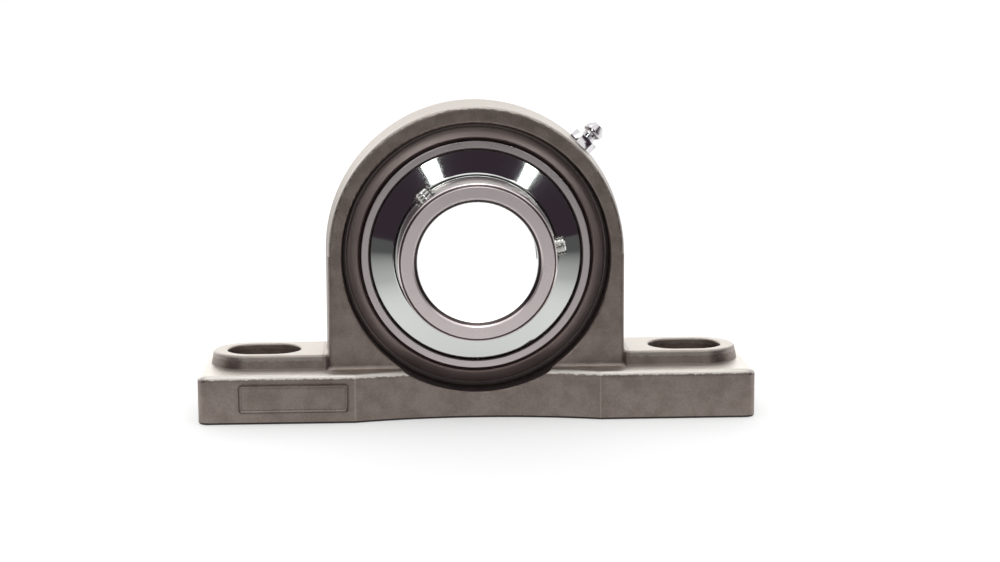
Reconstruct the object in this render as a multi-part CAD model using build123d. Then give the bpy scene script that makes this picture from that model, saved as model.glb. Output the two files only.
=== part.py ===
from build123d import *
import math
import os

# Pillow block bearing for a 35 mm shaft: a cast housing with slotted feet, a
# spherical seat and a grease nipple, and in the seat a ball bearing insert that
# aligns itself and is clamped to the shaft by two set screws.
# Millimetres and degrees. X runs along the base, Y along the shaft, Z is up.
# The set screw side is the front and faces -Y. The origin lies on the underside
# of the base, below the middle of the seat.

# Insert: the rings, outwards from the shaft
shaft_diameter = 35.0
inner_ring_wall = 5.6
ring_gap = 7.3
outer_ring_wall = 5.6
collar_length = 12.9
rear_length = 5.0
inner_ring_chamfer = 1.0
outer_ring_chamfer = 0.8
bore_chamfer = 1.4
oil_groove_width = 4.8
oil_groove_depth = 0.8
oil_groove_offset = 3.6
oil_hole_diameter = 1.6
oil_hole_angle = 225.0

# Insert: balls, raceways and cage
ball_diameter = 11.112
ball_count = 9
ball_clearance = 0.03
raceway_ratio = 0.519
cage_thickness = 1.0
cage_gap = 1.5
pocket_clearance = 0.15
rivet_diameter = 1.6
rivet_head_diameter = 2.4
rivet_head_height = 0.7

# Insert: seals and flingers
seal_room = 0.294
seal_seat_depth = 0.8
seal_plate_thickness = 0.6
seal_plate_gap = 2.3
seal_rim_height = 1.2
seal_rim_land = 0.1
seal_lip_thickness = 1.4
seal_lip_gap = 0.15
seal_bond_width = 2.0
seal_bond_thickness = 0.4
flinger_thickness = 0.7
flinger_inset = 0.8
flinger_dish = 2.2
flinger_bulge = 0.35
flinger_gap = 0.2
flinger_bore_step = 0.3
flinger_hub_wall = 0.9
flinger_hub_rise = 1.1
flinger_hub_length = 2.9

# Set screws in the collar of the inner ring
screw_angles = (129.0, 9.0)
screw_diameter = 6.0
screw_clearance = 0.05
screw_length = 8.0
screw_from_face = 7.0
screw_shaft_gap = 0.6
screw_key = 3.0
screw_socket_depth = 3.5
screw_chamfer = 0.6
screw_cup_diameter = 3.0

# Housing: the seat, the recesses and the arch round them
seat_clearance = 0.03
seat_chamfer = 0.4
seat_groove_width = 6.0
seat_groove_depth = 0.8
loading_clearance = 0.3
recess_ledge = 3.6
recess_depth = 6.0
recess_corner = 1.2
recess_floor_rise = 1.2
rim_rounding = 0.6
arch_wall = 5.0
arch_cover = 4.6
arch_rise = 0.8
arch_draft = 4.0
arch_rounding = 1.2

# Housing: the base and its feet
floor_under_recess = 8.0
base_height = 14.5
base_corner_radius = 3.0
base_top_rounding = 1.8
base_bottom_rounding = 0.8
foot_length = 37.4
foot_fillet = 1.5
waist_land = 2.4
waist_span = 72.0
flank_depth = 5.0
slot_length = 22.0
slot_width = 16.0
slot_rounding = 0.6
pad_side_wall = 4.0
pad_end_wall = 4.9
pad_margin = 2.6
pad_height = 3.9
pad_draft = 12.0
pad_rounding = 0.9

# Grease nipple and its hole
nipple_angle = 45.0
nipple_thread_diameter = 6.0
nipple_thread_length = 5.5
nipple_hexagon = 7.0
nipple_hexagon_height = 3.4
nipple_neck_diameter = 4.6
nipple_neck_height = 1.2
nipple_head_diameter = 6.5
nipple_head_height = 1.0
nipple_tip_diameter = 3.2
nipple_height = 8.6
nipple_bore = 2.6
nipple_mouth = 1.2
nipple_mouth_land = 0.5
spot_face_diameter = 10.0
spot_face_depth = 0.3
grease_passage = 3.5
check_ball_diameter = 2.2
check_ball_clearance = 0.02
check_spring_wire = 0.3
check_spring_diameter = 2.3
check_spring_turns = 4
spring_stop_bore = 1.6
spring_stop_height = 0.6

# Radii worked out from the ones above, outwards from the shaft
bore_radius = shaft_diameter / 2
collar_radius = bore_radius + inner_ring_wall
cage_inner_radius = collar_radius + cage_gap
cage_width = ring_gap - 2 * cage_gap
pitch_radius = collar_radius + ring_gap / 2
ball_radius = ball_diameter / 2
cup_radius = ball_radius + pocket_clearance
raceway_radius = raceway_ratio * ball_diameter
outer_shoulder_radius = collar_radius + ring_gap
seal_plate_inner_radius = collar_radius + seal_plate_gap
seal_bore_radius = outer_shoulder_radius + seal_seat_depth
flinger_bore_radius = seal_bore_radius + flinger_bore_step
sphere_radius = outer_shoulder_radius + outer_ring_wall
seat_radius = sphere_radius + seat_clearance
recess_radius = sphere_radius + recess_ledge
arch_radius = recess_radius + arch_wall
nipple_seat_radius = arch_radius - spot_face_depth

# Reaches worked out along the shaft, from the middle of the balls to both sides
seal_step = cup_radius + cage_thickness + seal_room
flinger_bore_depth = flinger_inset + flinger_thickness + flinger_gap
ring_half = seal_step + seal_rim_height + seal_rim_land + flinger_bore_depth
flinger_rim_reach = ring_half - flinger_inset
flinger_shoulder_reach = flinger_rim_reach + flinger_dish
flinger_hub_reach = flinger_shoulder_reach + flinger_hub_rise
inner_ring_front = flinger_hub_reach + collar_length
inner_ring_rear = flinger_hub_reach + rear_length
arch_half = ring_half + arch_cover

# Sizes worked out for the base
shaft_height = recess_radius + floor_under_recess
base_length = 2 * (arch_radius + foot_length)
waist_width = 2 * (arch_half + waist_land)
base_width = waist_width + 2 * flank_depth
bolt_spacing = base_length - 2 * (pad_margin + pad_end_wall) - slot_length
pad_top = base_height + pad_height
FRONT = -1
REAR = 1


def turned(outline):
    """Solid of revolution about the shaft axis, from an outline in radius (X) and reach (Y)."""
    return revolve(make_face(outline), Axis.Y)


def tube(outer, inner, low, high):
    """Round sleeve on the shaft axis from one reach to another."""
    corners = [(inner, low), (outer, low), (outer, high), (inner, high)]
    return turned(Polyline(*corners, close=True))


def radial(angle, radius, reach=0.0):
    """Place that points outwards from the middle of the seat, seen from the front."""
    outward = Vector(math.cos(math.radians(angle)), 0, math.sin(math.radians(angle)))
    return Plane(origin=outward * radius + Vector(0, reach, 0), x_dir=(0, 1, 0), z_dir=outward).location


def lifted(shape):
    """Moves a piece drawn about the shaft axis up to the height of the shaft."""
    return Pos(0, 0, shaft_height) * shape


def base_outline():
    """Plan of the base: a rounded rectangle with a hollow flank on each long side."""
    flank_radius = (waist_span ** 2 / 4 + flank_depth ** 2) / (2 * flank_depth)
    outline = RectangleRounded(base_length, base_width, base_corner_radius)
    for side in (FRONT, REAR):
        outline -= Pos(0, side * (waist_width / 2 + flank_radius)) * Circle(flank_radius)
    return outline


def base():
    """Flat base of the casting, with rounded edges above and below."""
    block = extrude(base_outline(), base_height)
    block = fillet(block.faces().sort_by(Axis.Z)[-1].edges(), base_top_rounding)
    return fillet(block.faces().sort_by(Axis.Z)[0].edges(), base_bottom_rounding)


def pad(side):
    """Raised pad round a foot's slot, running in to the arch, with sloping sides."""
    half_width = slot_width / 2 + pad_side_wall
    outer_end = bolt_spacing / 2 + slot_length / 2 + pad_end_wall
    inner_end = arch_radius - half_width / 2
    outline = Pos(outer_end - half_width, 0) * Circle(half_width)
    run = outer_end - half_width - inner_end
    outline += Pos(inner_end + run / 2, 0) * Rectangle(run, 2 * half_width)
    solid = extrude(Pos(0, 0, base_height) * outline, pad_height, taper=pad_draft)
    solid = fillet(solid.faces().sort_by(Axis.Z)[-1].edges(), pad_rounding)
    solid += extrude(Pos(0, 0, base_height / 2) * outline, base_height / 2)
    return solid if side > 0 else mirror(solid, Plane.YZ)


def arch():
    """Arch of the casting: two halves that taper from the parting line to the faces."""
    centre = shaft_height + arch_rise
    outline = Pos(0, centre) * Circle(arch_radius)
    outline += Pos(0, centre / 2) * Rectangle(2 * arch_radius, centre)
    solid = Part()
    for side in (FRONT, REAR):
        half = extrude(Plane.XZ * outline, -side * arch_half, taper=arch_draft)
        half = fillet(half.faces().sort_by(Axis.Y)[0 if side < 0 else -1].edges(), arch_rounding)
        solid += half
    return split(solid, Plane.XY.offset(base_height / 2), keep=Keep.TOP)


def recess_cutter(side):
    """What is turned out of one face: the recess, its sloping floor and the edge of the seat."""
    floor = arch_half - recess_depth
    mouth = floor + recess_floor_rise
    edge = mouth - seat_chamfer
    edge_radius = math.sqrt(seat_radius ** 2 - edge ** 2)
    corner_radius = recess_radius - recess_corner
    corner_bend = recess_corner * math.sqrt(0.5)
    outline = Polyline(
        (0, side * edge),
        (edge_radius, side * edge),
        (edge_radius + seat_chamfer, side * mouth),
        (corner_radius, side * floor),
    )
    outline += ThreePointArc(
        (corner_radius, side * floor),
        (corner_radius + corner_bend, side * (floor + recess_corner - corner_bend)),
        (recess_radius, side * (floor + recess_corner)),
    )
    outline += Polyline(
        (recess_radius, side * (floor + recess_corner)),
        (recess_radius, side * base_width),
        (0, side * base_width),
        (0, side * edge),
    )
    return turned(outline)


def loading_cutter():
    """Two slots from the rear face to the middle, where the insert goes in turned edge on."""
    width = 2 * (ring_half + loading_clearance)
    way_in = tube(seat_radius + loading_clearance, sphere_radius / 2, 0, base_width)
    return way_in & Box(base_length, 4 * base_width, width)


def nipple_cutter():
    """Spot face, tapped hole and grease passage, in line with the middle of the seat."""
    hole_depth = nipple_thread_length + 1
    cutter = extrude(Circle(spot_face_diameter / 2), arch_half)
    cutter += extrude(Circle(nipple_thread_diameter / 2), -hole_depth)
    cutter += extrude(Circle(grease_passage / 2), -(nipple_seat_radius - seat_radius + 1))
    return radial(nipple_angle, nipple_seat_radius) * cutter


def cast_body():
    """The casting before machining: base, pads and arch, with a fillet where they meet."""
    ground = base() + pad(-1) + pad(1)
    upright = arch()
    body = ground + upright
    return fillet(new_edges(ground, upright, combined=body), foot_fillet)


def with_slots(body):
    """Cuts the bolt slots through the feet and rounds their upper edge."""
    slot = extrude(SlotOverall(slot_length, slot_width), 2 * pad_top)
    slots = Pos(-bolt_spacing / 2, 0) * slot + Pos(bolt_spacing / 2, 0) * slot
    cut = body - slots
    upper = [edge for edge in new_edges(body, slots, combined=cut) if edge.center().Z > base_height]
    return fillet(upper, slot_rounding)


def with_recesses(body):
    """Turns out both faces and rounds the rim that this leaves on the arch and the flanks."""
    cutter = lifted(recess_cutter(FRONT) + recess_cutter(REAR))
    cut = body - cutter
    shortest = 2 * rim_rounding
    turned_edges = new_edges(body, cutter, combined=cut)
    rim = [edge for edge in turned_edges if edge.length > shortest and outside(edge)]
    return fillet(rim, rim_rounding)


def outside(edge):
    """True for an edge that lies on or beyond the faces of the arch."""
    box = edge.bounding_box()
    return max(box.min.Y, -box.max.Y) > arch_half - rim_rounding / 10


def housing():
    """The casting, with its machined seat, recesses, slots and nipple hole."""
    body = with_recesses(with_slots(cast_body()))
    body -= lifted(Sphere(seat_radius))
    groove = seat_groove_width / 2
    body -= lifted(tube(seat_radius + seat_groove_depth, sphere_radius / 2, -groove, groove))
    body -= lifted(loading_cutter())
    return body - lifted(nipple_cutter())


def cone_apex():
    """Height in the nipple at which the seat of the check ball would come to a point."""
    return nipple_height - nipple_mouth_land + nipple_mouth / 2


def check_ball_height():
    """Height of the check ball above the spot face, in the nipple's own frame."""
    return cone_apex() - (check_ball_diameter / 2 + check_ball_clearance) * math.sqrt(2)


def grease_nipple():
    """Nipple turned from hexagon bar, bored for its check ball and spring, on its own axis Z."""
    thread = nipple_thread_diameter / 2
    neck = nipple_neck_diameter / 2
    head = nipple_head_diameter / 2
    tip = nipple_tip_diameter / 2
    bore = nipple_bore / 2
    neck_top = nipple_hexagon_height + nipple_neck_height
    head_low = neck_top + head - neck
    lead_in = thread - spring_stop_bore / 2 - 1
    outside = Polyline(
        (0, 0, -nipple_thread_length),
        (thread - lead_in, 0, -nipple_thread_length),
        (thread, 0, -nipple_thread_length + lead_in),
        (thread, 0, nipple_hexagon_height),
        (neck, 0, nipple_hexagon_height),
        (neck, 0, neck_top),
        (head, 0, head_low),
        (head, 0, head_low + nipple_head_height),
        (tip, 0, nipple_height),
        (0, 0, nipple_height),
        close=True,
    )
    inside = Polyline(
        (0, 0, -nipple_thread_length),
        (spring_stop_bore / 2, 0, -nipple_thread_length),
        (spring_stop_bore / 2, 0, -nipple_thread_length + spring_stop_height),
        (bore, 0, -nipple_thread_length + spring_stop_height),
        (bore, 0, cone_apex() - bore),
        (nipple_mouth / 2, 0, nipple_height - nipple_mouth_land),
        (nipple_mouth / 2, 0, nipple_height),
        (0, 0, nipple_height),
        close=True,
    )
    hexagon = extrude(RegularPolygon(nipple_hexagon / 2, 6, major_radius=False), nipple_hexagon_height)
    solid = revolve(make_face(outside), Axis.Z) + hexagon
    return radial(nipple_angle, nipple_seat_radius) * (solid - revolve(make_face(inside), Axis.Z))


def nipple_ball():
    """Check ball under the mouth of the nipple."""
    return radial(nipple_angle, nipple_seat_radius + check_ball_height()) * Sphere(check_ball_diameter / 2)


def nipple_spring():
    """Coil spring between the crimped end of the nipple and the check ball."""
    wire = check_spring_wire / 2
    coil = check_spring_diameter / 2 - wire
    reach = check_ball_diameter / 2 + wire + check_ball_clearance
    top = check_ball_height() - math.sqrt(reach ** 2 - coil ** 2)
    bottom = -nipple_thread_length + spring_stop_height + wire + check_ball_clearance
    path = Helix((top - bottom) / check_spring_turns, top - bottom, coil)
    section = Plane(origin=path @ 0, z_dir=path % 0) * Circle(wire)
    return radial(nipple_angle, nipple_seat_radius) * (Pos(0, 0, bottom) * sweep(section, path))


def raceway(contact_radius, shoulder_radius):
    """Outline of a raceway groove, from shoulder to shoulder through its deepest point."""
    centre = contact_radius + math.copysign(raceway_radius, shoulder_radius - contact_radius)
    half_width = math.sqrt(raceway_radius ** 2 - (shoulder_radius - centre) ** 2)
    return ThreePointArc(
        (shoulder_radius, -half_width), (contact_radius, 0), (shoulder_radius, half_width)
    )


def outer_ring():
    """Outer ring: ball shaped outside, stepped for the seals, with the raceway inside."""
    arc_reach = ring_half - outer_ring_chamfer
    arc_radius = math.sqrt(sphere_radius ** 2 - arc_reach ** 2)
    face_radius = math.sqrt(sphere_radius ** 2 - ring_half ** 2) - outer_ring_chamfer
    flinger_step = ring_half - flinger_bore_depth
    race = raceway(pitch_radius + ball_radius + ball_clearance, outer_shoulder_radius)
    outline = race + ThreePointArc((arc_radius, -arc_reach), (sphere_radius, 0), (arc_radius, arc_reach))
    for side, end in ((FRONT, race @ 0), (REAR, race @ 1)):
        outline += Polyline(
            (end.X, end.Y),
            (outer_shoulder_radius, side * seal_step),
            (seal_bore_radius, side * seal_step),
            (seal_bore_radius, side * flinger_step),
            (flinger_bore_radius, side * flinger_step),
            (flinger_bore_radius, side * ring_half),
            (face_radius, side * ring_half),
            (arc_radius, side * arc_reach),
        )
    ring = turned(outline)
    groove_low = oil_groove_offset - oil_groove_width / 2
    groove_high = oil_groove_offset + oil_groove_width / 2
    groove_floor = math.sqrt(sphere_radius ** 2 - groove_high ** 2) - oil_groove_depth
    ring -= tube(seat_radius + 1, groove_floor, groove_low, groove_high)
    hole_reach = groove_high - oil_hole_diameter / 2
    hole = extrude(Circle(oil_hole_diameter / 2), sphere_radius / 4)
    return lifted(ring - radial(oil_hole_angle, outer_shoulder_radius - 1, hole_reach) * hole)


def inner_ring():
    """Inner ring: shaft bore, raceway, and the longer front collar with its tapped holes."""
    front = inner_ring_front
    rear = inner_ring_rear
    race = raceway(pitch_radius - ball_radius - ball_clearance, collar_radius)
    ends = Polyline(
        (collar_radius, (race @ 1).Y),
        (collar_radius, rear - inner_ring_chamfer),
        (collar_radius - inner_ring_chamfer, rear),
        (bore_radius + bore_chamfer, rear),
        (bore_radius, rear - bore_chamfer),
        (bore_radius, bore_chamfer - front),
        (bore_radius + bore_chamfer, -front),
        (collar_radius - inner_ring_chamfer, -front),
        (collar_radius, inner_ring_chamfer - front),
        (collar_radius, (race @ 0).Y),
    )
    ring = turned(race + ends)
    hole = extrude(Circle(screw_diameter / 2 + screw_clearance), collar_radius)
    for angle in screw_angles:
        ring -= radial(angle, bore_radius / 2, screw_from_face - front) * hole
    return lifted(ring)


def flinger(side):
    """Pressed steel flinger on the inner ring, a shallow dish that covers the seal."""
    hub_radius = collar_radius + flinger_hub_wall
    rim_radius = flinger_bore_radius - flinger_gap
    bulge = flinger_bulge + (flinger_shoulder_reach + flinger_rim_reach) / 2
    middle = (hub_radius + rim_radius) / 2
    inside = flinger_thickness
    outline = Polyline(
        (rim_radius, side * (flinger_rim_reach - inside)),
        (rim_radius, side * flinger_rim_reach),
    )
    outline += ThreePointArc(
        (rim_radius, side * flinger_rim_reach),
        (middle, side * bulge),
        (hub_radius, side * flinger_shoulder_reach),
    )
    outline += Polyline(
        (hub_radius, side * flinger_shoulder_reach),
        (hub_radius, side * flinger_hub_reach),
        (collar_radius, side * flinger_hub_reach),
        (collar_radius, side * (flinger_hub_reach - flinger_hub_length)),
        (hub_radius, side * (flinger_hub_reach - flinger_hub_length)),
        (hub_radius, side * (flinger_shoulder_reach - inside)),
    )
    outline += ThreePointArc(
        (hub_radius, side * (flinger_shoulder_reach - inside)),
        (middle, side * (bulge - inside)),
        (rim_radius, side * (flinger_rim_reach - inside)),
    )
    return lifted(turned(outline))


def seal_plate(side):
    """Steel plate of a seal, its turned up rim pressed in the outer ring."""
    inner_face = side * seal_step
    outer_face = side * (seal_step + seal_plate_thickness)
    outline = Polyline(
        (seal_plate_inner_radius, inner_face),
        (seal_bore_radius, inner_face),
        (seal_bore_radius, side * (seal_step + seal_rim_height)),
        (seal_bore_radius - seal_plate_thickness, side * (seal_step + seal_rim_height)),
        (seal_bore_radius - seal_plate_thickness, outer_face),
        (seal_plate_inner_radius, outer_face),
        close=True,
    )
    return lifted(turned(outline))


def seal_lip(side):
    """Rubber bonded to the plate's inner edge, tapering to a lip beside the inner ring."""
    lip_radius = collar_radius + seal_lip_gap
    outer_face = seal_step + seal_plate_thickness
    root = (lip_radius + seal_plate_inner_radius) / 2
    outline = Polyline(
        (seal_plate_inner_radius, side * seal_step),
        (seal_plate_inner_radius, side * outer_face),
        (seal_plate_inner_radius + seal_bond_width, side * outer_face),
        (seal_plate_inner_radius + seal_bond_width, side * (outer_face + seal_bond_thickness)),
        (root, side * (seal_step + seal_lip_thickness)),
        (lip_radius, side * outer_face),
        (lip_radius, side * (outer_face - seal_bond_thickness)),
        (root, side * seal_step),
        close=True,
    )
    return lifted(turned(outline))


def around(index):
    """Place on the pitch circle, counted in steps of one ball from the top."""
    angle = math.radians(90 + index * 360 / ball_count)
    return Pos(pitch_radius * math.cos(angle), 0, pitch_radius * math.sin(angle))


def cage_half(side):
    """Half of the ribbon cage: flat between the balls and cupped round each ball."""
    cage_outer_radius = cage_inner_radius + cage_width
    ribbon = tube(cage_outer_radius, cage_inner_radius, 0, side * cage_thickness)
    room = tube(cage_outer_radius, cage_inner_radius, 0, side * 2 * cup_radius)
    upright = Rot(90, 0, 0)
    rivet_hole = upright * Cylinder(rivet_diameter / 2, 4 * cage_thickness)
    for index in range(ball_count):
        ribbon += (around(index) * (upright * Sphere(cup_radius + cage_thickness))) & room
    for index in range(ball_count):
        ribbon -= around(index) * (upright * Sphere(cup_radius))
        ribbon -= around(index + 0.5) * rivet_hole
    return lifted(ribbon)


def cage_rivets():
    """Rivets between the balls, with a domed head on each half of the cage."""
    shank = rivet_diameter / 2
    head = rivet_head_diameter / 2
    top = cage_thickness + rivet_head_height
    dome = (head ** 2 + rivet_head_height ** 2) / (2 * rivet_head_height)
    outline = Polyline((0, -top), (0, top))
    outline += RadiusArc((0, top), (head, cage_thickness), dome)
    outline += Polyline(
        (head, cage_thickness), (shank, cage_thickness), (shank, -cage_thickness), (head, -cage_thickness)
    )
    outline += RadiusArc((head, -cage_thickness), (0, -top), dome)
    rivet = turned(outline)
    return Compound([lifted(around(index + 0.5) * rivet) for index in range(ball_count)])


def set_screw(angle):
    """Set screw with a hexagon socket and a cup point, its point just clear of the shaft."""
    radius = screw_diameter / 2
    cup = screw_cup_diameter / 2
    outline = Polyline(
        (0, 0, cup),
        (cup, 0, 0),
        (radius - screw_chamfer, 0, 0),
        (radius, 0, screw_chamfer),
        (radius, 0, screw_length - screw_chamfer),
        (radius - screw_chamfer, 0, screw_length),
        (0, 0, screw_length),
        close=True,
    )
    socket = Pos(0, 0, screw_length) * RegularPolygon(screw_key / 2, 6, major_radius=False)
    screw = revolve(make_face(outline), Axis.Z) - extrude(socket, -screw_socket_depth)
    place = radial(angle, bore_radius + screw_shaft_gap, screw_from_face - inner_ring_front)
    return lifted(place * screw)


pieces = {
    "housing": housing(),
    "grease_nipple": lifted(grease_nipple()),
    "nipple_ball": lifted(nipple_ball()),
    "nipple_spring": lifted(nipple_spring()),
    "outer_ring": outer_ring(),
    "front_seal_plate": seal_plate(FRONT),
    "front_seal_lip": seal_lip(FRONT),
    "rear_seal_plate": seal_plate(REAR),
    "rear_seal_lip": seal_lip(REAR),
    "inner_ring": inner_ring(),
    "front_flinger": flinger(FRONT),
    "rear_flinger": flinger(REAR),
    "cage_front": cage_half(FRONT),
    "cage_rear": cage_half(REAR),
    "cage_rivets": cage_rivets(),
}
for index, angle in enumerate(screw_angles):
    pieces[f"set_screw_{index + 1}"] = set_screw(angle)
for index in range(ball_count):
    pieces[f"ball_{index + 1}"] = lifted(around(index) * Sphere(ball_radius))

os.makedirs("parts", exist_ok=True)
for name, piece in pieces.items():
    export_step(piece, f"parts/{name}.step")
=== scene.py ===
import math

import bpy
from mathutils import Matrix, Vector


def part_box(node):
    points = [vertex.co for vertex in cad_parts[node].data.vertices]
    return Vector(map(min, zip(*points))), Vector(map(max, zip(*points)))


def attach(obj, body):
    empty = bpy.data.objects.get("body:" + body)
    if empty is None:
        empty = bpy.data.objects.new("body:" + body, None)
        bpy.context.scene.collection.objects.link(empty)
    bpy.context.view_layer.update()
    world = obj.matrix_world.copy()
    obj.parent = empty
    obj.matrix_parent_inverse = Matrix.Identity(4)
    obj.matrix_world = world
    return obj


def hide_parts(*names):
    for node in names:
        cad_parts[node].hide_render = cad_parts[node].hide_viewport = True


# Pillow block bearing: a cast housing on two slotted feet, and in its spherical
# seat a ball bearing insert. Everything is in metres, in the frame of the CAD
# model: X along the base, Y along the shaft, Z up, with the front facing -Y.
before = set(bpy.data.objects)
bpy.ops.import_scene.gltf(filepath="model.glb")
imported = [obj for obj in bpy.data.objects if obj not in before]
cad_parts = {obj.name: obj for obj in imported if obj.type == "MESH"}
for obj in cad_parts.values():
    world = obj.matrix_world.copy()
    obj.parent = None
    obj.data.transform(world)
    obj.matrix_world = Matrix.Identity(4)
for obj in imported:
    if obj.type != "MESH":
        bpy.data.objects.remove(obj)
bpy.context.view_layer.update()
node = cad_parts

# The housing is one casting in stainless steel, blasted clean, so it is matte and
# lightly mottled. The recesses and the spherical seat are turned in it afterwards,
# which leaves fine rings there.
ring_low, ring_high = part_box("outer_ring")
shaft_height = (ring_low.z + ring_high.z) / 2
cast_colour = (0.315, 0.262, 0.235, 1.0)
cast_dark = (0.25, 0.204, 0.18, 1.0)
# The next two colours are painted light: a pale painted highlight and a dark painted shade.
painted_highlight_colour = (0.64, 0.60, 0.56, 1.0)
painted_shade_colour = (0.05, 0.042, 0.04, 1.0)
turned_colour = (0.56, 0.455, 0.43, 1.0)
cast_grain = 0.0006
cast_mottle = 0.005
cell_share = 0.45
speck_edge = (0.08, 0.2)
mottle_edge = (0.36, 0.62)
grain_tones = (0.75, 1.2)
edge_noise_scale = 600.0
recess_rim_radius = 0.0397
# Between the next two radii the corner of the turned recess is painted darker, as painted shade.
recess_corner_start = 0.0379
recess_corner_end = 0.0387
recess_ring_pitch = 0.0005
base_edge = (0.0134, 0.01444)
base_top = 0.0145
base_top_half = 0.00006
base_top_highlight = 0.55
pad_edge = (0.0168, 0.0186)
pad_start = 0.0458
pad_highlight = 0.25
edge_wander = 0.0016
flank_edge = 0.0360
flank_edge_half = 0.0002
flank_highlight = 0.2
arch_middle = shaft_height + 0.0008
arch_front = ring_low.y - 0.0046
arch_draft = math.radians(4.0)
arch_rounding = 0.0012
arch_edge = 0.0006
arch_highlight = 0.6
foot_shadow = 0.0007


def step(tree, kind, settings, feeds):
    """Adds one step of a finish: a node, its settings, and its inputs by value or by link."""
    made = tree.nodes.new("ShaderNode" + kind)
    for name, value in settings.items():
        setattr(made, name, value)
    for name, value in feeds.items():
        if isinstance(value, bpy.types.NodeSocket):
            tree.links.new(value, made.inputs[name])
        else:
            made.inputs[name].default_value = value
    return made


def maths(tree, operation, *values):
    """Adds one step of arithmetic."""
    return step(tree, "Math", {"operation": operation}, dict(enumerate(values))).outputs[0]


def stretch(tree, value, start, end, low=0.0, high=1.0, kind="LINEAR"):
    """Maps the values between two limits to another range, and clips the rest."""
    limits = {"From Min": start, "From Max": end, "To Min": low, "To Max": high}
    feeds = {"Value": value, **limits}
    return step(tree, "MapRange", {"interpolation_type": kind}, feeds).outputs[0]


def blend(tree, mask, first, second, kind="RGBA"):
    """Puts a second colour or value in place of a first one, as far as a mask says."""
    feeds = {"Factor": mask, "A": first, "B": second}
    return step(tree, "Mix", {"data_type": kind}, feeds).outputs["Result"]


def shared_effect(name, inputs, outputs):
    """Starts a node group that finishes share, with named inputs and outputs."""
    effect = bpy.data.node_groups.new(name, "ShaderNodeTree")
    for way, titles in (("INPUT", inputs), ("OUTPUT", outputs)):
        for title in titles:
            effect.interface.new_socket(title, in_out=way, socket_type="NodeSocketFloat")
    return effect, effect.nodes.new("NodeGroupInput"), effect.nodes.new("NodeGroupOutput")


def make_turning_rings():
    """Rings that a lathe leaves about the shaft axis: how far out a point is, and their height."""
    rings, given, found = shared_effect("turning_rings", ["Pitch"], ["Radius", "Height"])
    pitch = given.outputs["Pitch"]
    place = step(rings, "TexCoord", {}, {}).outputs["Object"]
    parts = step(rings, "SeparateXYZ", {}, {0: place}).outputs
    rise = maths(rings, "SUBTRACT", parts["Z"], shaft_height)
    flat = step(rings, "CombineXYZ", {}, {0: parts["X"], 1: rise}).outputs[0]
    radius = step(rings, "VectorMath", {"operation": "LENGTH"}, {0: flat}).outputs["Value"]
    across = maths(rings, "DIVIDE", radius, pitch)
    along = maths(rings, "DIVIDE", parts["Y"], pitch)
    cut = step(rings, "CombineXYZ", {}, {0: across, 1: along}).outputs[0]
    marks = step(rings, "TexNoise", {}, {"Vector": cut, "Scale": 1.0, "Detail": 3.0})
    rings.links.new(radius, found.inputs["Radius"])
    rings.links.new(marks.outputs["Fac"], found.inputs["Height"])
    return rings


def make_uneven_sheen():
    """Patches that vary how rough a surface is, given as a height too."""
    titles = ["Scale", "Detail", "Smooth", "Rough"]
    sheen, given, found = shared_effect("uneven_sheen", titles, ["Roughness", "Height"])
    scale, detail, smooth, rough = (given.outputs[title] for title in titles)
    place = step(sheen, "TexCoord", {}, {}).outputs["Object"]
    patches = step(sheen, "TexNoise", {}, {"Vector": place, "Scale": scale, "Detail": detail})
    height = patches.outputs["Fac"]
    varied = stretch(sheen, height, 0.0, 1.0, smooth, rough)
    sheen.links.new(varied, found.inputs["Roughness"])
    sheen.links.new(height, found.inputs["Height"])
    return sheen


turning_rings = make_turning_rings()
uneven_sheen = make_uneven_sheen()


def steel(name, colour):
    """Starts a bare steel finish and gives the material, its nodes and its shader."""
    material = bpy.data.materials.new(name)
    material.use_nodes = True
    shader = material.node_tree.nodes["Principled BSDF"]
    shader.inputs["Base Color"].default_value = colour
    shader.inputs["Metallic"].default_value = 1.0
    return material, material.node_tree, shader


def lathe_rings(tree, pitch):
    """Puts the shared lathe rings in a finish, at their pitch."""
    return step(tree, "Group", {"node_tree": turning_rings}, {"Pitch": pitch}).outputs


def uneven(tree, shader, scale, detail, smooth, rough):
    """Gives a finish the shared uneven sheen, and finds its patches as a height."""
    values = {"Scale": scale, "Detail": detail, "Smooth": smooth, "Rough": rough}
    sheen = step(tree, "Group", {"node_tree": uneven_sheen}, values)
    tree.links.new(sheen.outputs["Roughness"], shader.inputs["Roughness"])
    return sheen.outputs["Height"]


def dented(tree, shader, height, strength, depth):
    """Gives a finish fine dents or rings from a height."""
    dents = step(tree, "Bump", {}, {"Strength": strength, "Distance": depth, "Height": height})
    tree.links.new(dents.outputs[0], shader.inputs["Normal"])


def dress(piece, material):
    """Gives a piece its finish."""
    piece.data.materials.clear()
    piece.data.materials.append(material)


cast_steel, tree, shader = steel("cast_steel", cast_colour)
mottle = uneven(tree, shader, scale=1 / cast_mottle, detail=5.0, smooth=0.36, rough=0.52)
place = step(tree, "TexCoord", {}, {}).outputs["Object"]
grain = step(tree, "TexNoise", {}, {"Vector": place, "Scale": 1 / cast_grain, "Detail": 4.0})
cells = step(tree, "TexVoronoi", {}, {"Vector": place, "Scale": cell_share / cast_grain})
specks = stretch(tree, cells.outputs["Distance"], *speck_edge)
skin = blend(tree, stretch(tree, mottle, *mottle_edge), cast_dark, cast_colour)
grainy = stretch(tree, grain.outputs["Fac"], 0.0, 1.0, *grain_tones)
relief = maths(tree, "MULTIPLY", grainy, specks)
toned = step(tree, "VectorMath", {"operation": "SCALE"}, {0: skin, "Scale": grainy}).outputs[0]
parts = step(tree, "SeparateXYZ", {}, {0: place}).outputs
sideways = maths(tree, "ABSOLUTE", parts["X"])
edge_noise = step(tree, "TexNoise", {}, {"Vector": place, "Scale": edge_noise_scale, "Detail": 5.0})
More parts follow.
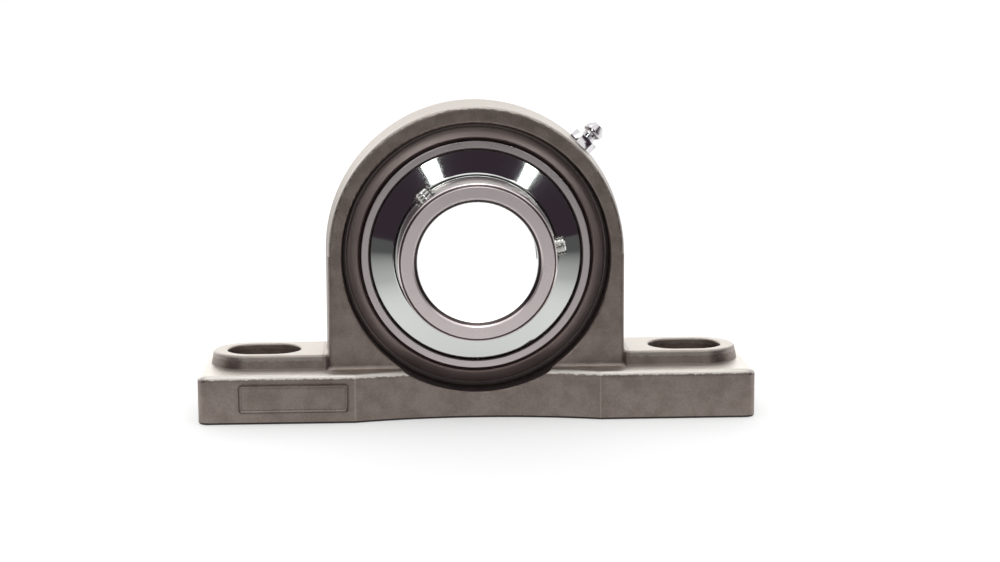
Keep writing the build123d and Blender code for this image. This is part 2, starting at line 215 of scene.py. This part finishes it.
wander = stretch(tree, edge_noise.outputs["Fac"], 0.0, 1.0, -edge_wander / 2, edge_wander / 2)
rings = lathe_rings(tree, recess_ring_pitch)


def ragged(value, start):
    """Finds where a value on the casting passes a limit, along a ragged line."""
    return maths(tree, "GREATER_THAN", maths(tree, "ADD", value, wander), start)


def below(value, end):
    """Finds where a value on the casting is under a limit."""
    return maths(tree, "LESS_THAN", value, end)


def both(first, second):
    """Finds where two masks meet, or weakens a mask."""
    return maths(tree, "MULTIPLY", first, second)


def highlighted_band(low, high):
    """Finds a level band of the casting that is painted lighter as a highlight, with a ragged
    lower edge.
    """
    return both(ragged(parts["Z"], low), below(parts["Z"], high))


# Painted highlights: the flat top of the base, ragged bands along the top edges of base and pads,
# the corner lines of the flanks and the upper front edge of the arch are painted lighter, as lit.
on_base = maths(tree, "COMPARE", parts["Z"], base_top, base_top_half)
on_pad = maths(tree, "GREATER_THAN", sideways, pad_start)
on_flank = maths(tree, "COMPARE", sideways, flank_edge, flank_edge_half)
front_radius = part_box("housing")[1].z - arch_middle + arch_front * math.tan(arch_draft)
over_middle = maths(tree, "SUBTRACT", parts["Z"], arch_middle)
from_middle = step(tree, "CombineXYZ", {}, {0: parts["X"], 1: over_middle}).outputs[0]
far_out = step(tree, "VectorMath", {"operation": "LENGTH"}, {0: from_middle}).outputs["Value"]
on_arch = both(
    ragged(far_out, front_radius - arch_edge), below(parts["Y"], arch_front + arch_rounding)
)
painted_highlight = highlighted_band(*base_edge)
for band in (
    both(on_base, base_top_highlight),
    both(highlighted_band(*pad_edge), both(on_pad, pad_highlight)),
    both(both(on_flank, below(parts["Z"], base_edge[0])), flank_highlight),
    both(on_arch, both(ragged(parts["Z"], arch_middle), arch_highlight)),
):
    painted_highlight = maths(tree, "MAXIMUM", painted_highlight, band)
highlighted = blend(tree, painted_highlight, toned, painted_highlight_colour)
# Painted shade: the bottom edge of the feet, along the floor, is painted dark.
cast_skin = blend(tree, below(parts["Z"], foot_shadow), highlighted, painted_shade_colour)
# Painted shade: the inner corner of the turned recess around the seat is painted dark.
corner_shade = stretch(tree, rings["Radius"], recess_corner_start, recess_corner_end)
turned_skin = blend(tree, corner_shade, turned_colour, painted_shade_colour)
turned_part = below(rings["Radius"], recess_rim_radius)
surface = blend(tree, turned_part, cast_skin, turned_skin)
height = blend(tree, turned_part, relief, rings["Height"], kind="FLOAT")
dented(tree, shader, height, strength=0.45, depth=0.00012)
tree.links.new(surface, shader.inputs["Base Color"])
dress(node["housing"], cast_steel)

# A low plate for a name stands on the front of the left foot, in one with the
# casting. It has rounded corners and a little draft, and it is left bare.
plate_left, plate_right = -0.0700, -0.0380
plate_bottom, plate_top = 0.0036, 0.0118
plate_rise = 0.0001
plate_draft = 0.0002
plate_corner = 0.0010
plate_rounding = 0.00006
facing_front = -0.9
foot_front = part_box("housing")[0].y
bpy.ops.object.select_all(action="DESELECT")
bpy.ops.mesh.primitive_cube_add(
    size=1,
    location=((plate_left + plate_right) / 2, foot_front, (plate_bottom + plate_top) / 2),
    scale=(plate_right - plate_left, 2 * plate_rise, plate_top - plate_bottom),
)
name_plate = bpy.context.object
name_plate.name = "name_plate"
bpy.ops.object.transform_apply(location=True, rotation=True, scale=True)
bpy.ops.object.mode_set(mode="EDIT")
bpy.ops.mesh.select_all(action="DESELECT")
bpy.ops.object.mode_set(mode="OBJECT")
for edge in name_plate.data.edges:
    ends = [name_plate.data.vertices[i].co for i in edge.vertices]
    edge.select = abs(ends[0].y - ends[1].y) > plate_rise
bpy.ops.object.mode_set(mode="EDIT")
bpy.ops.mesh.select_mode(type="EDGE")
bpy.ops.mesh.bevel(offset=plate_corner, segments=6)
bpy.ops.mesh.select_all(action="DESELECT")
bpy.ops.object.mode_set(mode="OBJECT")
for face in name_plate.data.polygons:
    face.select = face.normal.y < facing_front
bpy.ops.object.mode_set(mode="EDIT")
bpy.ops.mesh.select_mode(type="FACE")
bpy.ops.transform.resize(
    value=(
        1 - 2 * plate_draft / (plate_right - plate_left),
        1,
        1 - 2 * plate_draft / (plate_top - plate_bottom),
    ),
)
bpy.ops.object.mode_set(mode="OBJECT")
bpy.ops.object.modifier_add(type="BEVEL")
name_plate.modifiers[-1].width = plate_rounding
name_plate.modifiers[-1].segments = 2
bpy.ops.object.modifier_apply(modifier=name_plate.modifiers[-1].name)
dress(name_plate, cast_steel)
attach(name_plate, "housing")

# The grease nipple is turned from bright hexagon bar and screwed in to the spot
# face on the shoulder of the arch. Under its mouth sits a check ball.
nipple_angle = math.radians(45.0)
nipple_seat = 0.0443
nipple_hexagon = 0.0070
nipple_hexagon_height = 0.0034
nipple_thread_radius = 0.0030
nipple_thread_length = 0.0055
nipple_neck_radius = 0.0023
nipple_neck_height = 0.0012
nipple_head_radius = 0.00325
nipple_head_band = 0.0010
nipple_tip_radius = 0.0016
nipple_height = 0.0086
nipple_bore_radius = 0.0013
nipple_mouth_radius = 0.0006
nipple_mouth_land = 0.0005
hexagon_hole_radius = nipple_bore_radius * 1.3
corner_chamfer = math.radians(30.0)
nipple_edge = 0.00018
hexagon_edge = 0.0001
small_turns = 64
weld_distance = 0.000001
smooth_under = math.radians(25)


def turned(name, section, turns):
    """Turns a closed section of (radius, height) points about the Z axis, as on a lathe."""
    bpy.ops.object.select_all(action="DESELECT")
    bpy.ops.mesh.primitive_plane_add(size=0.001, location=(section[0][0], 0, section[0][1]))
    piece = bpy.context.object
    piece.name = name
    bpy.ops.object.transform_apply(location=True, rotation=True, scale=True)
    bpy.ops.object.mode_set(mode="EDIT")
    bpy.ops.mesh.select_mode(type="VERT")
    bpy.ops.mesh.select_all(action="SELECT")
    bpy.ops.mesh.merge(type="CENTER")
    for (radius, height), (next_radius, next_height) in zip(section, section[1:]):
        move = (next_radius - radius, 0, next_height - height)
        bpy.ops.mesh.extrude_region_move(TRANSFORM_OT_translate={"value": move})
    bpy.ops.object.mode_set(mode="OBJECT")
    last = len(section) - 1
    for vertex in piece.data.vertices:
        vertex.select = vertex.index in (0, last)
    for edge in piece.data.edges:
        edge.select = False
    bpy.ops.object.mode_set(mode="EDIT")
    bpy.ops.mesh.edge_face_add()
    bpy.ops.mesh.select_all(action="SELECT")
    bpy.ops.mesh.spin(steps=turns, angle=math.tau, center=(0, 0, 0), axis=(0, 0, 1))
    bpy.ops.mesh.select_all(action="SELECT")
    bpy.ops.mesh.remove_doubles(threshold=weld_distance)
    bpy.ops.mesh.normals_make_consistent(inside=False)
    bpy.ops.object.mode_set(mode="OBJECT")
    return piece


def eased(piece, width):
    """Breaks the sharp edges of a machined piece and smooths what is round."""
    bpy.ops.object.select_all(action="DESELECT")
    bpy.context.view_layer.objects.active = piece
    piece.select_set(True)
    bpy.ops.object.modifier_add(type="BEVEL")
    edges = piece.modifiers[-1]
    edges.width = width
    edges.segments = 2
    edges.limit_method = "ANGLE"
    edges.angle_limit = smooth_under
    bpy.ops.object.modifier_apply(modifier=edges.name)
    bpy.ops.object.shade_smooth_by_angle(angle=smooth_under)
    bpy.ops.object.modifier_add(type="WEIGHTED_NORMAL")
    piece.modifiers[-1].keep_sharp = True
    bpy.ops.object.modifier_apply(modifier=piece.modifiers[-1].name)


def placed(piece, place):
    """Moves a piece made on its own axis to its place, and leaves its object at the origin."""
    bpy.ops.object.select_all(action="DESELECT")
    bpy.context.view_layer.objects.active = piece
    piece.select_set(True)
    piece.matrix_world = place @ piece.matrix_world
    bpy.ops.object.transform_apply(location=True, rotation=True, scale=True)


def pointing_out(angle, radius, reach):
    """Place of a piece that points out from the shaft axis, seen from the front."""
    lift = Matrix.Translation((0, reach, shaft_height))
    turn = Matrix.Rotation(math.pi / 2 - angle, 4, "Y")
    return lift @ turn @ Matrix.Translation((0, 0, radius))


def cut_with(piece, tool, operation):
    """Cuts or keeps what a tool covers, then puts the tool away."""
    bpy.ops.object.select_all(action="DESELECT")
    bpy.context.view_layer.objects.active = piece
    piece.select_set(True)
    bpy.ops.object.modifier_add(type="BOOLEAN")
    cut = piece.modifiers[-1]
    cut.operation = operation
    cut.object = tool
    bpy.ops.object.modifier_apply(modifier=cut.name)
    bpy.data.objects.remove(tool)


neck_top = nipple_hexagon_height + nipple_neck_height
head_low = neck_top + nipple_head_radius - nipple_neck_radius
cone_apex = nipple_height - nipple_mouth_land + nipple_mouth_radius
nipple = turned(
    "grease_nipple_body",
    [
        (nipple_bore_radius, -nipple_thread_length),
        (nipple_thread_radius, -nipple_thread_length),
        (nipple_thread_radius, nipple_hexagon_height / 2),
        (nipple_neck_radius, nipple_hexagon_height / 2),
        (nipple_neck_radius, neck_top),
        (nipple_head_radius, head_low),
        (nipple_head_radius, head_low + nipple_head_band),
        (nipple_tip_radius, nipple_height),
        (nipple_mouth_radius, nipple_height),
        (nipple_mouth_radius, nipple_height - nipple_mouth_land),
        (nipple_bore_radius, cone_apex - nipple_bore_radius),
    ],
    small_turns,
)
eased(nipple, nipple_edge)
across_corners = nipple_hexagon / math.cos(math.pi / 6)
bpy.ops.object.select_all(action="DESELECT")
bpy.ops.mesh.primitive_cylinder_add(
    vertices=6,
    radius=across_corners / 2,
    depth=nipple_hexagon_height,
    location=(0, 0, nipple_hexagon_height / 2),
    rotation=(0, 0, math.pi / 6),
)
hexagon = bpy.context.object
bpy.ops.object.transform_apply(location=True, rotation=True, scale=True)
corners = turned(
    "corner_tool",
    [
        (hexagon_hole_radius, -nipple_hexagon),
        (nipple_hexagon, -nipple_hexagon),
        (nipple_hexagon, nipple_hexagon_height - (nipple_hexagon / 2) * math.tan(corner_chamfer)),
        (nipple_hexagon / 2, nipple_hexagon_height),
        (hexagon_hole_radius, nipple_hexagon_height),
    ],
    small_turns,
)
cut_with(hexagon, corners, "INTERSECT")
eased(hexagon, hexagon_edge)
bpy.ops.object.select_all(action="DESELECT")
hexagon.select_set(True)
nipple.select_set(True)
bpy.context.view_layer.objects.active = nipple
bpy.ops.object.join()
placed(nipple, pointing_out(nipple_angle, nipple_seat, 0))
bright_steel, tree, shader = steel("nipple_steel", (0.72, 0.70, 0.72, 1.0))
wear = uneven(tree, shader, scale=900.0, detail=4.0, smooth=0.06, rough=0.24)
dented(tree, shader, wear, strength=0.25, depth=0.00004)
dress(nipple, bright_steel)
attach(nipple, "housing")
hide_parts("grease_nipple")

# A small ball, pushed by a coil spring of thin wire, shuts the mouth of the nipple.
# Both are bought in, polished and drawn bright.
ball_steel, tree, shader = steel("ball_steel", (0.80, 0.79, 0.80, 1.0))
uneven(tree, shader, scale=300.0, detail=3.0, smooth=0.02, rough=0.10)
dress(node["nipple_ball"], ball_steel)
spring_steel, tree, shader = steel("spring_steel", (0.45, 0.43, 0.42, 1.0))
uneven(tree, shader, scale=4000.0, detail=2.0, smooth=0.18, rough=0.34)
dress(node["nipple_spring"], spring_steel)

# The outer ring is turned and ground bearing steel, ball shaped outside so that it
# tilts in the seat. Its bore is stepped for the seals and holds the raceway.
sphere_radius = (ring_high.z - ring_low.z) / 2
ring_half = (ring_high.y - ring_low.y) / 2
ring_chamfer = 0.0008
shoulder_radius = 0.0304
seal_step = 0.0070
seal_bore = 0.0312
flinger_bore = 0.0315
flinger_bore_depth = 0.0017
race_contact = 0.032336
race_radius = 0.0057671
oil_groove = (0.0012, 0.0060)
oil_groove_depth = 0.0008
race_steps = 12
ring_turns = 192
broken_edge = 0.00012


def arc(centre, radius, start, end, pieces):
    """Points of an arc in a section, from one angle to another, both ends included."""
    angles = [start + (end - start) * i / pieces for i in range(pieces + 1)]
    return [(centre[0] + radius * math.cos(a), centre[1] + radius * math.sin(a)) for a in angles]


arc_reach = ring_half - ring_chamfer
arc_end = math.asin(arc_reach / sphere_radius)
face_radius = math.sqrt(sphere_radius ** 2 - ring_half ** 2) - ring_chamfer
groove_start = math.asin(oil_groove[0] / sphere_radius)
groove_end = math.asin(oil_groove[1] / sphere_radius)
groove_floor = sphere_radius * math.cos(groove_end) - oil_groove_depth
race_centre = (race_contact - race_radius, 0.0)
race_half = math.acos((shoulder_radius - race_centre[0]) / race_radius)
outer_ring = turned(
    "outer_ring_turned",
    [(face_radius, -ring_half)]
    + arc((0, 0), sphere_radius, -arc_end, groove_start, 14)
    + [(groove_floor, oil_groove[0]), (groove_floor, oil_groove[1])]
    + arc((0, 0), sphere_radius, groove_end, arc_end, 5)
    + [
        (face_radius, ring_half),
        (flinger_bore, ring_half),
        (flinger_bore, ring_half - flinger_bore_depth),
        (seal_bore, ring_half - flinger_bore_depth),
        (seal_bore, seal_step),
        (shoulder_radius, seal_step),
    ]
    + arc(race_centre, race_radius, race_half, -race_half, race_steps)
    + [
        (shoulder_radius, -seal_step),
        (seal_bore, -seal_step),
        (seal_bore, flinger_bore_depth - ring_half),
        (flinger_bore, flinger_bore_depth - ring_half),
        (flinger_bore, -ring_half),
    ],
    ring_turns,
)
eased(outer_ring, broken_edge)
on_the_shaft = Matrix.Translation((0, 0, shaft_height)) @ Matrix.Rotation(-math.pi / 2, 4, "X")
placed(outer_ring, on_the_shaft)
ground_colour = (0.68, 0.61, 0.605, 1.0)
collar_colour = (0.92, 0.82, 0.82, 1.0)
# This dark colour is painted shade in the ring's gaps, and the colour of narrow dark bands at bore
# and collar.
dark_band_and_shade_colour = (0.09, 0.07, 0.07, 1.0)
mirror_colour = (0.96, 0.96, 0.96, 1.0)
inner_low, inner_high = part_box("inner_ring")
collar_radius = (inner_high.z - inner_low.z) / 2
bore_line = (0.01755, 0.01835)
collar_line = (0.00095, 0.00035)
flinger_gap_shade_half = 0.00025
ramp_end = 0.040
ring_steel, tree, shader = steel("ring_steel", ground_colour)
rings = lathe_rings(tree, pitch=0.00035)
tones = step(tree, "ValToRGB", {}, {0: stretch(tree, rings["Radius"], 0.0, ramp_end)})
tones.color_ramp.interpolation = "CONSTANT"
# Narrow dark bands lie just outside the bore and just inside the edge of the collar. The dark band
# at the flinger bore, and the ball-shaped outside beyond the face edge, are painted shade for the
# gaps there.
for start, colour in (
    (bore_line[0], dark_band_and_shade_colour),
    (bore_line[1], collar_colour),
    (collar_radius - collar_line[0], dark_band_and_shade_colour),
    (collar_radius - collar_line[1], collar_colour),
    (collar_radius + collar_line[0], ground_colour),
    (flinger_bore - flinger_gap_shade_half, dark_band_and_shade_colour),
    (flinger_bore + flinger_gap_shade_half, ground_colour),
    (face_radius, dark_band_and_shade_colour),
):
    tones.color_ramp.elements.new(start / ramp_end).color = colour
tones.color_ramp.elements[0].color = mirror_colour
tones.color_ramp.elements[-1].color = dark_band_and_shade_colour
tree.links.new(tones.outputs["Color"], shader.inputs["Base Color"])
uneven(tree, shader, scale=160.0, detail=5.0, smooth=0.22, rough=0.36)
dented(tree, shader, rings["Height"], strength=0.2, depth=0.00003)
dress(outer_ring, ring_steel)
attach(outer_ring, "outer_ring")
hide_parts("outer_ring")

# Nine balls run between the rings, held apart by a cage of two pressed ribbons
# that are riveted together between the balls.
for index in range(1, 10):
    dress(node[f"ball_{index}"], ball_steel)
cage_steel, tree, shader = steel("cage_steel", (0.55, 0.52, 0.50, 1.0))
scuffs = uneven(tree, shader, scale=700.0, detail=4.0, smooth=0.22, rough=0.45)
dented(tree, shader, scuffs, strength=0.3, depth=0.00004)
for name in ("cage_front", "cage_rear", "cage_rivets"):
    dress(node[name], cage_steel)

# The inner ring is longer at the front, where its collar is tapped for the set
# screws. Bore, collar and ends are ground, with a wide chamfer in the bore.
bore_radius = 0.0175
bore_chamfer = 0.0014
end_chamfer = 0.0010
inner_contact = 0.021164
inner_race_centre = (inner_contact + race_radius, 0.0)
inner_race_half = math.acos((inner_race_centre[0] - collar_radius) / race_radius)
inner_ring = turned(
    "inner_ring_turned",
    [
        (bore_radius, inner_low.y + bore_chamfer),
        (bore_radius + bore_chamfer, inner_low.y),
        (collar_radius - end_chamfer, inner_low.y),
        (collar_radius, inner_low.y + end_chamfer),
    ]
    + arc(
        inner_race_centre,
        race_radius,
        math.pi + inner_race_half,
        math.pi - inner_race_half,
        race_steps,
    )
    + [
        (collar_radius, inner_high.y - end_chamfer),
        (collar_radius - end_chamfer, inner_high.y),
        (bore_radius + bore_chamfer, inner_high.y),
        (bore_radius, inner_high.y - bore_chamfer),
    ],
    ring_turns,
)
screw_angles = (math.radians(129.0), math.radians(9.0))
screw_setback = 0.0070
screw_reach = inner_low.y + screw_setback
tap_radius = 0.00305
tap_countersink = 0.0004
tool_clearance = 0.002
tap_turns = 48
placed(inner_ring, on_the_shaft)
for angle in screw_angles:
    tap = turned(
        "tap",
        [
            (0, bore_radius / 2),
            (tap_radius, bore_radius / 2),
            (tap_radius, collar_radius - tap_countersink),
            (tap_radius + tool_clearance, collar_radius - tap_countersink + tool_clearance),
            (0, collar_radius - tap_countersink + tool_clearance),
        ],
        tap_turns,
    )
    placed(tap, pointing_out(angle, 0, screw_reach))
    cut_with(inner_ring, tap, "DIFFERENCE")
eased(inner_ring, broken_edge)
dress(inner_ring, ring_steel)
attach(inner_ring, "inner_ring")
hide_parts("inner_ring")

# On each side a steel plate with a bonded rubber lip is pressed in the outer ring,
# and closes the gap to the inner ring.
seal_steel, tree, shader = steel("seal_steel", (0.42, 0.40, 0.39, 1.0))
uneven(tree, shader, scale=500.0, detail=4.0, smooth=0.28, rough=0.48)
seal_rubber, tree, shader = steel("seal_rubber", (0.018, 0.018, 0.019, 1.0))
shader.inputs["Metallic"].default_value = 0.0
grained = uneven(tree, shader, scale=800.0, detail=4.0, smooth=0.5, rough=0.75)
dented(tree, shader, grained, strength=0.4, depth=0.00005)
for side in ("front", "rear"):
    dress(node[f"{side}_seal_plate"], seal_steel)
    dress(node[f"{side}_seal_lip"], seal_rubber)

# A flinger on each side is pressed from bright stainless sheet and grips the inner
# ring by its hub. It is a shallow polished dish, so half of it mirrors the room.
flinger_low, flinger_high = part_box("front_flinger")
flinger_rim = (flinger_high.z - flinger_low.z) / 2
hub_wall = 0.0009
hub_reach = -flinger_low.y
hub_length = 0.0029
shoulder_reach = 0.0114
rim_reach = 0.0092
sheet = 0.0007
fold_radius = 0.0011
lip_radius = 0.0004
rim_rounding = 0.0003
sheet_edge = 0.0001
hub_radius = collar_radius + hub_wall
dish_slope = math.atan2(shoulder_reach - rim_reach, flinger_rim - hub_radius)
fold_centre = (
    hub_radius + fold_radius,
    shoulder_reach - fold_radius * math.tan(dish_slope) + fold_radius / math.cos(dish_slope),
)
fold = arc(fold_centre, fold_radius, 1.5 * math.pi - dish_slope, math.pi, 10)
lip = arc((hub_radius - lip_radius, hub_reach - lip_radius), lip_radius, 0, math.pi / 2, 5)
rim = arc((flinger_rim - rim_rounding, rim_reach - rim_rounding), rim_rounding, 0, math.pi / 2, 5)
flinger_steel, tree, shader = steel("flinger_steel", (0.74, 0.76, 0.74, 1.0))
rings = lathe_rings(tree, pitch=0.0004)
uneven(tree, shader, scale=120.0, detail=5.0, smooth=0.02, rough=0.09)
dented(tree, shader, rings["Height"], strength=0.06, depth=0.00002)
for side, name in ((-1, "front_flinger"), (1, "rear_flinger")):
    section = rim + fold + lip + [
        (collar_radius, hub_reach),
        (collar_radius, hub_reach - hub_length),
        (hub_radius, hub_reach - hub_length),
        (hub_radius, shoulder_reach - sheet),
        (flinger_rim, rim_reach - sheet),
    ]
    outline = [(radius, side * reach) for radius, reach in section]
    flinger = turned(f"{name}_pressed", outline, ring_turns)
    eased(flinger, sheet_edge)
    placed(flinger, on_the_shaft)
    dress(flinger, flinger_steel)
    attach(flinger, "inner_ring")
    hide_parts(name)

# Two set screws with a hexagon socket and a cup point clamp the collar to the
# shaft. They stand a little proud of the collar, so their threads show.
screw_radius = 0.0030
screw_length = 0.0080
screw_foot = 0.0181
thread_pitch = 0.0010
thread_depth = 0.00061
screw_chamfer = 0.0006
screw_key = 0.0030
socket_depth = 0.0035
cup_radius = 0.0015
screw_turns = 48
blank_margin = 0.0001
thread_weld = 0.000002
thread_smooth_under = math.radians(30)
screw_steel, tree, shader = steel("screw_steel", (0.74, 0.74, 0.72, 1.0))
uneven(tree, shader, scale=1200.0, detail=3.0, smooth=0.08, rough=0.24)
bpy.ops.object.select_all(action="DESELECT")
bpy.ops.mesh.primitive_plane_add(size=0.001, location=(screw_radius, 0, -thread_pitch))
thread = bpy.context.object
bpy.ops.object.transform_apply(location=True, rotation=True, scale=True)
bpy.ops.object.mode_set(mode="EDIT")
bpy.ops.mesh.select_all(action="SELECT")
bpy.ops.mesh.merge(type="CENTER")
for tooth in range(round(screw_length / thread_pitch) + 2):
    for move in ((-thread_depth, 0, thread_pitch / 2), (thread_depth, 0, thread_pitch / 2)):
        bpy.ops.mesh.extrude_region_move(TRANSFORM_OT_translate={"value": move})
bpy.ops.object.mode_set(mode="OBJECT")
bpy.ops.object.modifier_add(type="SCREW")
thread.modifiers[-1].angle = math.tau
thread.modifiers[-1].screw_offset = thread_pitch
thread.modifiers[-1].steps = screw_turns
thread.modifiers[-1].render_steps = screw_turns
thread.modifiers[-1].use_merge_vertices = True
bpy.ops.object.modifier_apply(modifier=thread.modifiers[-1].name)
bpy.ops.object.mode_set(mode="EDIT")
bpy.ops.mesh.select_all(action="SELECT")
bpy.ops.mesh.remove_doubles(threshold=thread_weld)
bpy.ops.mesh.bisect(plane_co=(0, 0, 0), plane_no=(0, 0, -1), use_fill=True, clear_outer=True)
bpy.ops.mesh.select_all(action="SELECT")
bpy.ops.mesh.bisect(
    plane_co=(0, 0, screw_length), plane_no=(0, 0, 1), use_fill=True, clear_outer=True
)
bpy.ops.mesh.select_all(action="SELECT")
bpy.ops.mesh.normals_make_consistent(inside=False)
bpy.ops.object.mode_set(mode="OBJECT")
blank = turned(
    "blank",
    [
        (0, cup_radius),
        (cup_radius, 0),
        (screw_radius - screw_chamfer, 0),
        (screw_radius + blank_margin, screw_chamfer + blank_margin),
        (screw_radius + blank_margin, screw_length - screw_chamfer - blank_margin),
        (screw_radius - screw_chamfer, screw_length),
        (0, screw_length),
    ],
    screw_turns,
)
cut_with(thread, blank, "INTERSECT")
bpy.ops.object.select_all(action="DESELECT")
bpy.ops.mesh.primitive_cylinder_add(
    vertices=6,
    radius=screw_key / 2 / math.cos(math.pi / 6),
    depth=2 * socket_depth,
    location=(0, 0, screw_length),
)
socket = bpy.context.object
bpy.ops.object.transform_apply(location=True, rotation=True, scale=True)
cut_with(thread, socket, "DIFFERENCE")
for number, angle in enumerate(screw_angles, 1):
    screw = thread.copy()
    screw.data = thread.data.copy()
    screw.name = f"set_screw_{number}_threaded"
    bpy.context.scene.collection.objects.link(screw)
    bpy.ops.object.select_all(action="DESELECT")
    bpy.context.view_layer.objects.active = screw
    screw.select_set(True)
    bpy.ops.object.shade_smooth_by_angle(angle=thread_smooth_under)
    placed(screw, pointing_out(angle, screw_foot, screw_reach))
    dress(screw, screw_steel)
    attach(screw, f"set_screw_{number}")
    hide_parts(f"set_screw_{number}")
bpy.data.objects.remove(thread)

# The bearing stands on plain white paper, which ends not far in front of it. Its colour is
# painted darker with the distance, a painted shade for paper lit less far off, as the polished
# flinger shows, but in the background it stays white. Close in front of the base the paper
# glows in reflections, a painted light over its shadow there.
floor_front = -1.2
floor_back = 4.0
floor_side = 4.0
near_grey = (0.60, 0.60, 0.60, 1.0)
far_painted_shade = (0.08, 0.08, 0.08, 1.0)
near_glow = 0.44
far_glow = 0.96
aside_share = (2.0, 0.5, 0.0)
greying = (0.12, 0.55)
mirrored_front = (-0.11, -0.03)
white_colour = (1.0, 1.0, 1.0, 1.0)
paper_roughness = 0.9
paper_gloss = 0.1
bpy.ops.object.select_all(action="DESELECT")
bpy.ops.mesh.primitive_plane_add(size=1, location=(0, (floor_front + floor_back) / 2, 0))
floor = bpy.context.object
floor.name = "floor"
floor.scale = (2 * floor_side, floor_back - floor_front, 1)
bpy.ops.object.transform_apply(location=True, rotation=True, scale=True)
paper = bpy.data.materials.new("white_paper")
paper.use_nodes = True
tree = paper.node_tree
shader = tree.nodes["Principled BSDF"]
shader.inputs["Roughness"].default_value = paper_roughness
shader.inputs["Specular IOR Level"].default_value = paper_gloss
ray = step(tree, "LightPath", {}, {}).outputs
spot = step(tree, "TexCoord", {}, {}).outputs["Object"]
# Painted light: the band just in front of the base where the paper glows in reflections.
reflected_glow_near = stretch(tree, step(tree, "SeparateXYZ", {}, {0: spot}).outputs["Y"], *mirrored_front)
aside = step(tree, "VectorMath", {"operation": "MULTIPLY"}, {0: spot, 1: aside_share}).outputs[0]
distance = step(tree, "VectorMath", {"operation": "LENGTH"}, {0: aside}).outputs["Value"]
# Painted shade: the paper's colour darkens with the distance from the bearing.
far_off = stretch(tree, distance, *greying)
shade = blend(tree, far_off, near_grey, far_painted_shade)
tree.links.new(shade, shader.inputs["Base Color"])
seen = maths(
    tree, "ADD", ray["Is Camera Ray"], maths(tree, "MULTIPLY", ray["Is Glossy Ray"], reflected_glow_near)
)
seen_all = step(
    tree,
    "Math",
    {"operation": "ADD", "use_clamp": True},
    {0: seen, 1: ray["Is Transmission Ray"]},
).outputs[0]
white_far_off = stretch(tree, far_off, 0.0, 1.0, near_glow, far_glow)
glow = maths(tree, "MULTIPLY", seen_all, white_far_off)
shader.inputs["Emission Color"].default_value = white_colour
tree.links.new(glow, shader.inputs["Emission Strength"])
floor.data.materials.append(paper)

# The studio is white behind and overhead. The room in front is dark apart from two
# tall windows, but seen straight from the camera all of it is plain white.
room_colour = (0.040, 0.027, 0.038, 1.0)
white_behind = (-0.25, 0.3)
white_above = (0.52, 0.70)
daylight = (0.95, 1.0, 0.97)
lamp_distance = 2.0
world = bpy.data.worlds.new("studio")
bpy.context.scene.world = world
world.use_nodes = True
tree = world.node_tree
background = tree.nodes["Background"]
way = step(tree, "TexCoord", {}, {}).outputs["Generated"]
parts = step(tree, "SeparateXYZ", {}, {0: way}).outputs
behind = stretch(tree, parts["Y"], *white_behind, kind="SMOOTHSTEP")
above = stretch(tree, parts["Z"], *white_above, kind="SMOOTHSTEP")
ray = step(tree, "LightPath", {}, {}).outputs
white = maths(tree, "MAXIMUM", maths(tree, "MAXIMUM", behind, above), ray["Is Camera Ray"])
tree.links.new(blend(tree, white, room_colour, white_colour), background.inputs["Color"])
for name, turn, rise, width, tall, power in (
    ("left_window", -16.1, 22.0, 0.16, 0.80, 3.0),
    ("right_window", 24.2, 21.0, 0.12, 0.80, 2.2),
    ("back_lamp", -174.0, 22.0, 3.20, 1.40, 21.0),
    ("top_lamp", 0.0, 86.0, 1.00, 1.00, 4.5),
):
    lamp_data = bpy.data.lights.new(name, "AREA")
    lamp_data.color = daylight
    lamp_data.shape = "RECTANGLE"
    lamp_data.size = width
    lamp_data.size_y = tall
    lamp_data.energy = power
    lamp = bpy.data.objects.new(name, lamp_data)
    bpy.context.scene.collection.objects.link(lamp)
    lamp.matrix_world = (
        Matrix.Translation((0, 0, shaft_height))
        @ Matrix.Rotation(math.radians(turn), 4, "Z")
        @ Matrix.Rotation(math.radians(90 - rise), 4, "X")
        @ Matrix.Translation((0, 0, lamp_distance))
    )
    lamp.visible_camera = False

# The camera stands in front, a little above and to the left of the middle.
camera_place = (-0.02271, -0.63065, 0.14139)
camera_aside = -0.048
camera_down = 0.162
camera_roll = -0.004
camera_lens = 76.45
camera_sensor = 36.0
camera_data = bpy.data.cameras.new("camera")
camera_data.lens = camera_lens
camera_data.sensor_width = camera_sensor
camera = bpy.data.objects.new("camera", camera_data)
bpy.context.scene.collection.objects.link(camera)
camera.matrix_world = (
    Matrix.Translation(camera_place)
    @ Matrix.Rotation(camera_aside, 4, "Z")
    @ Matrix.Rotation(math.pi / 2 - camera_down, 4, "X")
    @ Matrix.Rotation(camera_roll, 4, "Z")
)
bpy.context.scene.camera = camera
bpy.context.scene.view_settings.view_transform = "Standard"
